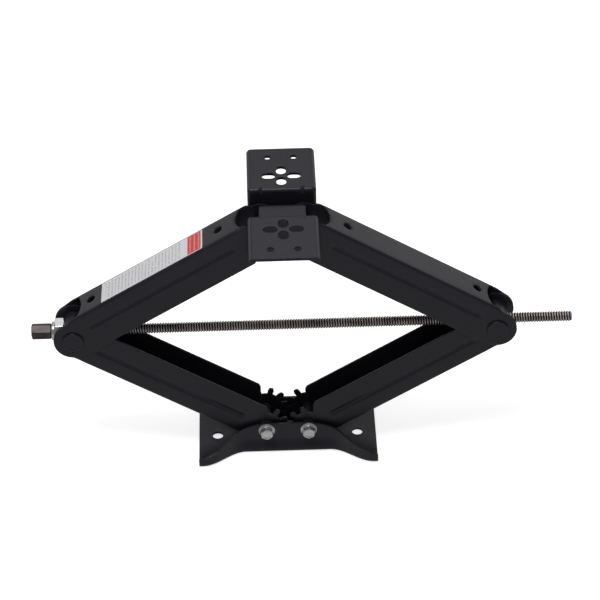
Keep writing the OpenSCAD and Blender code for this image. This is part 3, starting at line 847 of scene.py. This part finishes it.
def make_screw(steel, head_steel, zinc):
    bar = thread_bar("look_lead_screw", -TRUNNION_X + 4, SCREW_END_X, SCREW_R, PITCH,
                     THREAD_DEPTH, along_screw(1), [steel])
    tail = rod("tail", TRUNNION_X - 5, -HEAD_HIGH[0] + 1, TAIL_R, along_screw(-1), [steel])
    screw = joined("look_lead_screw", [bar, tail])
    mark_crests(screw)
    dress(screw, "screw", "bare_steel", "lead_screw")
    head = hexed("look_drive_head", -HEAD_HIGH[0], -HEAD_LOW[0], HEAD_FLATS,
                 math.radians(HEAD_TURN_DEG), HEAD_CHAMFER, along_screw(-1), [head_steel], 0.4, True)
    dress(head, "screw", "bare_steel", "drive_head")
    collar = hexed("look_thrust_collar", -COLLAR_HIGH[0], -COLLAR_LOW[0], COLLAR_FLATS,
                   math.radians(COLLAR_TURN_DEG), COLLAR_CHAMFER, along_screw(-1), [zinc], 0.0,
                   True)
    dress(collar, "screw", "zinc_plate", "thrust_collar")
    low, high = -WASHER_HIGH[0], -WASHER_LOW[0]
    washer = turned_part("look_collar_washer",
                         [(low, 7.0), (low, 11.8), (low + 0.5, 12.3), (high - 0.7, 12.3),
                          (high - 0.2, 12.0), (high, 11.4), (high, 7.0)], along_screw(-1), [zinc])
    dress(washer, "screw", "zinc_plate", "collar_washer")


# ---- materials ----

def new_material(name):
    mat = bpy.data.materials.new(name)
    mat.use_nodes = True
    tree = mat.node_tree
    shader = tree.nodes["Principled BSDF"]
    return mat, tree, shader


def add(tree, kind, **values):
    node = tree.nodes.new(kind)
    for key, value in values.items():
        if key in node.inputs:
            node.inputs[key].default_value = value
        else:
            setattr(node, key, value)
    return node


def object_noise(tree, scale, detail=3.0, stretch=(1, 1, 1)):
    place = add(tree, "ShaderNodeTexCoord")
    size = add(tree, "ShaderNodeMapping")
    size.inputs["Scale"].default_value = stretch
    noise = add(tree, "ShaderNodeTexNoise", Scale=scale, Detail=detail)
    tree.links.new(place.outputs["Object"], size.inputs["Vector"])
    tree.links.new(size.outputs["Vector"], noise.inputs["Vector"])
    return noise


def ramp(tree, source, low, high, p0=0.3, p1=0.7):
    """Colour that goes from low at p0 to high at p1."""
    node = add(tree, "ShaderNodeValToRGB")
    node.color_ramp.elements[0].position, node.color_ramp.elements[1].position = p0, p1
    node.color_ramp.elements[0].color, node.color_ramp.elements[1].color = low, high
    tree.links.new(source, node.inputs["Fac"])
    return node


def rough(tree, shader, source, low, high):
    """Roughness from low to high as the source goes from 0 to 1."""
    span = add(tree, "ShaderNodeMapRange")
    span.inputs["To Min"].default_value, span.inputs["To Max"].default_value = low, high
    tree.links.new(source, span.inputs["Value"])
    tree.links.new(span.outputs["Result"], shader.inputs["Roughness"])


def bumped(tree, shader, source, strength, distance):
    bump = add(tree, "ShaderNodeBump")
    bump.inputs["Strength"].default_value = strength
    bump.inputs["Distance"].default_value = distance
    tree.links.new(source, bump.inputs["Height"])
    tree.links.new(bump.outputs["Normal"], shader.inputs["Normal"])


def powder_coat():
    """Black powder coat with a faint cool tint and a fine grain."""
    mat, tree, shader = new_material("black_powder_coat")
    broad = object_noise(tree, 22.0)
    fine = object_noise(tree, 900.0, 2.0)
    tone = ramp(tree, broad.outputs["Fac"], (0.0115, 0.0108, 0.0165, 1),
                (0.0160, 0.0150, 0.0220, 1))
    tree.links.new(tone.outputs["Color"], shader.inputs["Base Color"])
    rough(tree, shader, broad.outputs["Fac"], 0.36, 0.46)
    shader.inputs["Specular Tint"].default_value = (0.96, 0.93, 1.0, 1)
    bumped(tree, shader, fine.outputs["Fac"], 0.18, 0.0002)
    shader.inputs["Specular IOR Level"].default_value = 0.5
    return mat


def zinc_plate():
    """Bright zinc with faint cloudy patches."""
    mat, tree, shader = new_material("bright_zinc")
    broad = object_noise(tree, 160.0)
    tone = ramp(tree, broad.outputs["Fac"], (0.66, 0.66, 0.67, 1), (0.86, 0.86, 0.87, 1))
    tree.links.new(tone.outputs["Color"], shader.inputs["Base Color"])
    shader.inputs["Metallic"].default_value = 0.95
    rough(tree, shader, broad.outputs["Fac"], 0.24, 0.40)
    bumped(tree, shader, broad.outputs["Fac"], 0.12, 0.0004)
    return mat


def oiled_steel(name, low, high):
    """Oiled steel mottled between two tones."""
    mat, tree, shader = new_material(name)
    broad = object_noise(tree, 120.0, 4.0, (0.4, 1, 1))
    tone = ramp(tree, broad.outputs["Fac"], low, high)
    tree.links.new(tone.outputs["Color"], shader.inputs["Base Color"])
    shader.inputs["Metallic"].default_value = 0.85
    rough(tree, shader, broad.outputs["Fac"], 0.32, 0.52)
    bumped(tree, shader, broad.outputs["Fac"], 0.2, 0.0004)
    return mat


def blackened_steel():
    """Dull dark steel of the parts between the arms and the walls."""
    mat, tree, shader = new_material("blackened_steel")
    broad = object_noise(tree, 120.0)
    tone = ramp(tree, broad.outputs["Fac"], (0.014, 0.013, 0.014, 1), (0.030, 0.027, 0.027, 1))
    tree.links.new(tone.outputs["Color"], shader.inputs["Base Color"])
    shader.inputs["Metallic"].default_value = 0.3
    rough(tree, shader, broad.outputs["Fac"], 0.4, 0.6)
    return mat


def maths(tree, operation, a, b):
    """Math node of two values, each a number or a socket."""
    node = add(tree, "ShaderNodeMath", operation=operation)
    for value, socket in ((a, node.inputs[0]), (b, node.inputs[1])):
        if isinstance(value, (int, float)):
            socket.default_value = value
        else:
            tree.links.new(value, socket)
    return node.outputs[0]


def both_of(tree, a, b):
    """1 where both masks are 1."""
    return maths(tree, "MULTIPLY", a, b)


def between(tree, value, low, high):
    """1 where the value lies between low and high, else 0."""
    above = maths(tree, "GREATER_THAN", value, low)
    return both_of(tree, above, maths(tree, "LESS_THAN", value, high))


def stripes(tree, value, count, share):
    """1 in the first share of each of count equal stripes, else 0."""
    place = maths(tree, "FRACT", maths(tree, "MULTIPLY", value, count), 0.0)
    return maths(tree, "LESS_THAN", place, share)


def printed(tree, factor, under, ink):
    """Colour of ink over a colour or socket, as far as the factor says."""
    node = add(tree, "ShaderNodeMix", data_type="RGBA")
    if isinstance(under, tuple):
        node.inputs["A"].default_value = under
    else:
        tree.links.new(under, node.inputs["A"])
    node.inputs["B"].default_value = ink
    tree.links.new(factor, node.inputs["Factor"])
    return node.outputs["Result"]


def ragged_noise(tree, place):
    """Noise over the label that breaks its rows into uneven bars."""
    squash = add(tree, "ShaderNodeMapping")
    squash.inputs["Scale"].default_value = (0.9, 0.35, 1)
    noise = add(tree, "ShaderNodeTexNoise", Scale=60.0, Detail=1.0)
    tree.links.new(place, squash.inputs["Vector"])
    tree.links.new(squash.outputs["Vector"], noise.inputs["Vector"])
    return noise.outputs["Fac"]


def label_vinyl():
    """White vinyl with rows of short gray bars and a red block, without any lettering."""
    mat, tree, shader = new_material("label_vinyl")
    place = add(tree, "ShaderNodeAttribute", attribute_name="label_place").outputs["Vector"]
    axes = add(tree, "ShaderNodeSeparateXYZ")
    tree.links.new(place, axes.inputs["Vector"])
    u, v = axes.outputs["X"], axes.outputs["Y"]
    broken = maths(tree, "GREATER_THAN", ragged_noise(tree, place), 0.44)
    broken = both_of(tree, broken, between(tree, v, 0.08, 0.92))
    rows = both_of(tree, stripes(tree, u, 30.0, 0.42), between(tree, u, 0.04, 0.80))
    rows = both_of(tree, rows, broken)
    block = both_of(tree, between(tree, u, 0.855, 0.985), between(tree, v, 0.03, 0.97))
    bars = both_of(tree, both_of(tree, stripes(tree, u, 24.0, 0.34), block), broken)
    tone = printed(tree, maths(tree, "MULTIPLY", rows, LABEL_INK), LABEL_WHITE, LABEL_GRAY)
    tone = printed(tree, block, tone, LABEL_RED)
    tone = printed(tree, maths(tree, "MULTIPLY", bars, LABEL_BAR_INK), tone, LABEL_PINK)
    tree.links.new(tone, shader.inputs["Base Color"])
    rough(tree, shader, object_noise(tree, 40.0).outputs["Fac"], 0.38, 0.50)
    return mat


def pale_floor():
    """Nearly white floor that also glows a little, so that it stays even."""
    mat, tree, shader = new_material("pale_floor")
    broad = object_noise(tree, 1.5)
    tone = ramp(tree, broad.outputs["Fac"], (0.93, 0.93, 0.93, 1), (0.95, 0.95, 0.95, 1))
    tree.links.new(tone.outputs["Color"], shader.inputs["Base Color"])
    tree.links.new(tone.outputs["Color"], shader.inputs["Emission Color"])
    shader.inputs["Emission Strength"].default_value = 0.76
    shader.inputs["Roughness"].default_value = 0.9
    shader.inputs["Specular IOR Level"].default_value = 0.1
    return mat


def thread_steel():
    """Oiled steel whose thread roots are darkened with painted shade; the crests keep the full tone.
    """
    mat, tree, shader = new_material("thread_steel")
    broad = object_noise(tree, 120.0, 4.0, (0.4, 1, 1))
    tone = ramp(tree, broad.outputs["Fac"], (0.46, 0.405, 0.39, 1), (0.82, 0.74, 0.72, 1))
    place = add(tree, "ShaderNodeAttribute", attribute_name="crest")
    # Painted shade: the roots are darkened, fading out towards the crests.
    painted_root_shade = ramp(tree, place.outputs["Fac"], (0.035, 0.028, 0.026, 1), (1, 1, 1, 1), 0.20, 0.90)
    mix = add(tree, "ShaderNodeMix", data_type="RGBA", blend_type="MULTIPLY")
    mix.inputs["Factor"].default_value = 1.0
    tree.links.new(tone.outputs["Color"], mix.inputs["A"])
    tree.links.new(painted_root_shade.outputs["Color"], mix.inputs["B"])
    tree.links.new(mix.outputs["Result"], shader.inputs["Base Color"])
    shader.inputs["Metallic"].default_value = 0.85
    rough(tree, shader, broad.outputs["Fac"], 0.34, 0.54)
    return mat


# ---- stage ----

def make_floor():
    mesh = bpy.data.meshes.new("studio_floor")
    corners = ((-1, -1), (1, -1), (1, 1), (-1, 1))
    mesh.from_pydata([(x * FLOOR_REACH, y * FLOOR_REACH, FLOOR_Z) for x, y in corners], [],
                     [(0, 1, 2, 3)])
    mesh.materials.append(pale_floor())
    floor = bpy.data.objects.new("studio_floor", mesh)
    bpy.context.scene.collection.objects.link(floor)
    floor.visible_diffuse = False
    floor.visible_glossy = False


def add_area(name, place, target, size, power):
    data = bpy.data.lights.new(name, "AREA")
    data.shape = "RECTANGLE"
    data.size, data.size_y = size
    data.energy = power
    lamp = bpy.data.objects.new(name, data)
    lamp.location = place
    lamp.rotation_euler = (Vector(target) - Vector(place)).to_track_quat("-Z", "Y").to_euler()
    lamp.visible_camera = False
    bpy.context.scene.collection.objects.link(lamp)


def make_light():
    """World that is brighter from below than from above, and the area lights."""
    world = bpy.data.worlds.new("studio")
    bpy.context.scene.world = world
    world.use_nodes = True
    tree = world.node_tree
    back = tree.nodes["Background"]
    back.inputs["Color"].default_value = (1, 1, 1, 1)
    way = add(tree, "ShaderNodeTexCoord")
    axes = add(tree, "ShaderNodeSeparateXYZ")
    rise = add(tree, "ShaderNodeMapRange")
    rise.inputs["From Min"].default_value = WORLD_BELOW_Z
    rise.inputs["From Max"].default_value = WORLD_ABOVE_Z
    rise.inputs["To Min"].default_value = WORLD_BELOW
    rise.inputs["To Max"].default_value = WORLD_ABOVE
    tree.links.new(way.outputs["Generated"], axes.inputs["Vector"])
    tree.links.new(axes.outputs["Z"], rise.inputs["Value"])
    tree.links.new(rise.outputs["Result"], back.inputs["Strength"])
    for light in LIGHTS:
        add_area(*light)
    scene = bpy.context.scene
    scene.view_settings.view_transform = "Standard"
    scene.view_settings.look = "None"


def make_camera():
    e, yaw, roll = (math.radians(a) for a in (CAM_ELEVATION, CAM_YAW, CAM_ROLL))
    forward = Vector((math.sin(yaw) * math.cos(e), math.cos(yaw) * math.cos(e), -math.sin(e)))
    right = Vector((math.cos(yaw), -math.sin(yaw), 0))
    up = right.cross(forward)
    turned_right = right * math.cos(roll) - up * math.sin(roll)
    turned_up = up * math.cos(roll) + right * math.sin(roll)
    data = bpy.data.cameras.new("camera")
    data.sensor_width = 36.0
    data.lens = CAM_LENS
    data.clip_start, data.clip_end = 0.05, 60.0
    camera = bpy.data.objects.new("camera", data)
    spot = (Vector(CAM_TARGET) - forward * CAM_DISTANCE) * MM
    turn = Matrix((turned_right, turned_up, -forward)).transposed().to_4x4()
    camera.matrix_world = Matrix.Translation(spot) @ turn
    bpy.context.scene.collection.objects.link(camera)
    bpy.context.scene.camera = camera


def paint_frame_nodes(paint, steel, blackened):
    """CAD nodes that are shown as they are."""
    finishes = (("black_paint", paint, ("drive_trunnion", "nut_trunnion")),
                ("bare_steel", blackened, ("pivot_sleeves", "base_spacers", "bracket_washers")),
                ("bare_steel", steel, ("bearing_race_fixed", "bearing_race_turning",
                                       "bearing_balls")))
    for slot, finish, names in finishes:
        for name in names:
            node = frame["nodes"][name]
            node.data.materials.clear()
            node.data.materials.append(finish)


paint, zinc = powder_coat(), zinc_plate()
steel = oiled_steel("oiled_steel", (0.220, 0.192, 0.185, 1), (0.430, 0.385, 0.372, 1))
head_steel = oiled_steel("worn_head_steel", (0.032, 0.026, 0.027, 1), (0.130, 0.107, 0.109, 1))
paint_frame_nodes(paint, steel, blackened_steel())
make_arms(paint)
make_label(label_vinyl())
make_base(paint)
make_bracket(paint)
make_spacer(paint)
make_caps("look_drive_trunnion_caps", "drive_trunnion_caps", "drive_block", -TRUNNION_X, paint)
make_caps("look_nut_trunnion_caps", "nut_trunnion_caps", "nut_block", TRUNNION_X, paint)
make_top_pins(paint)
make_bolts(zinc)
make_screw(thread_steel(), head_steel, zinc)
make_floor()
make_light()
make_camera()
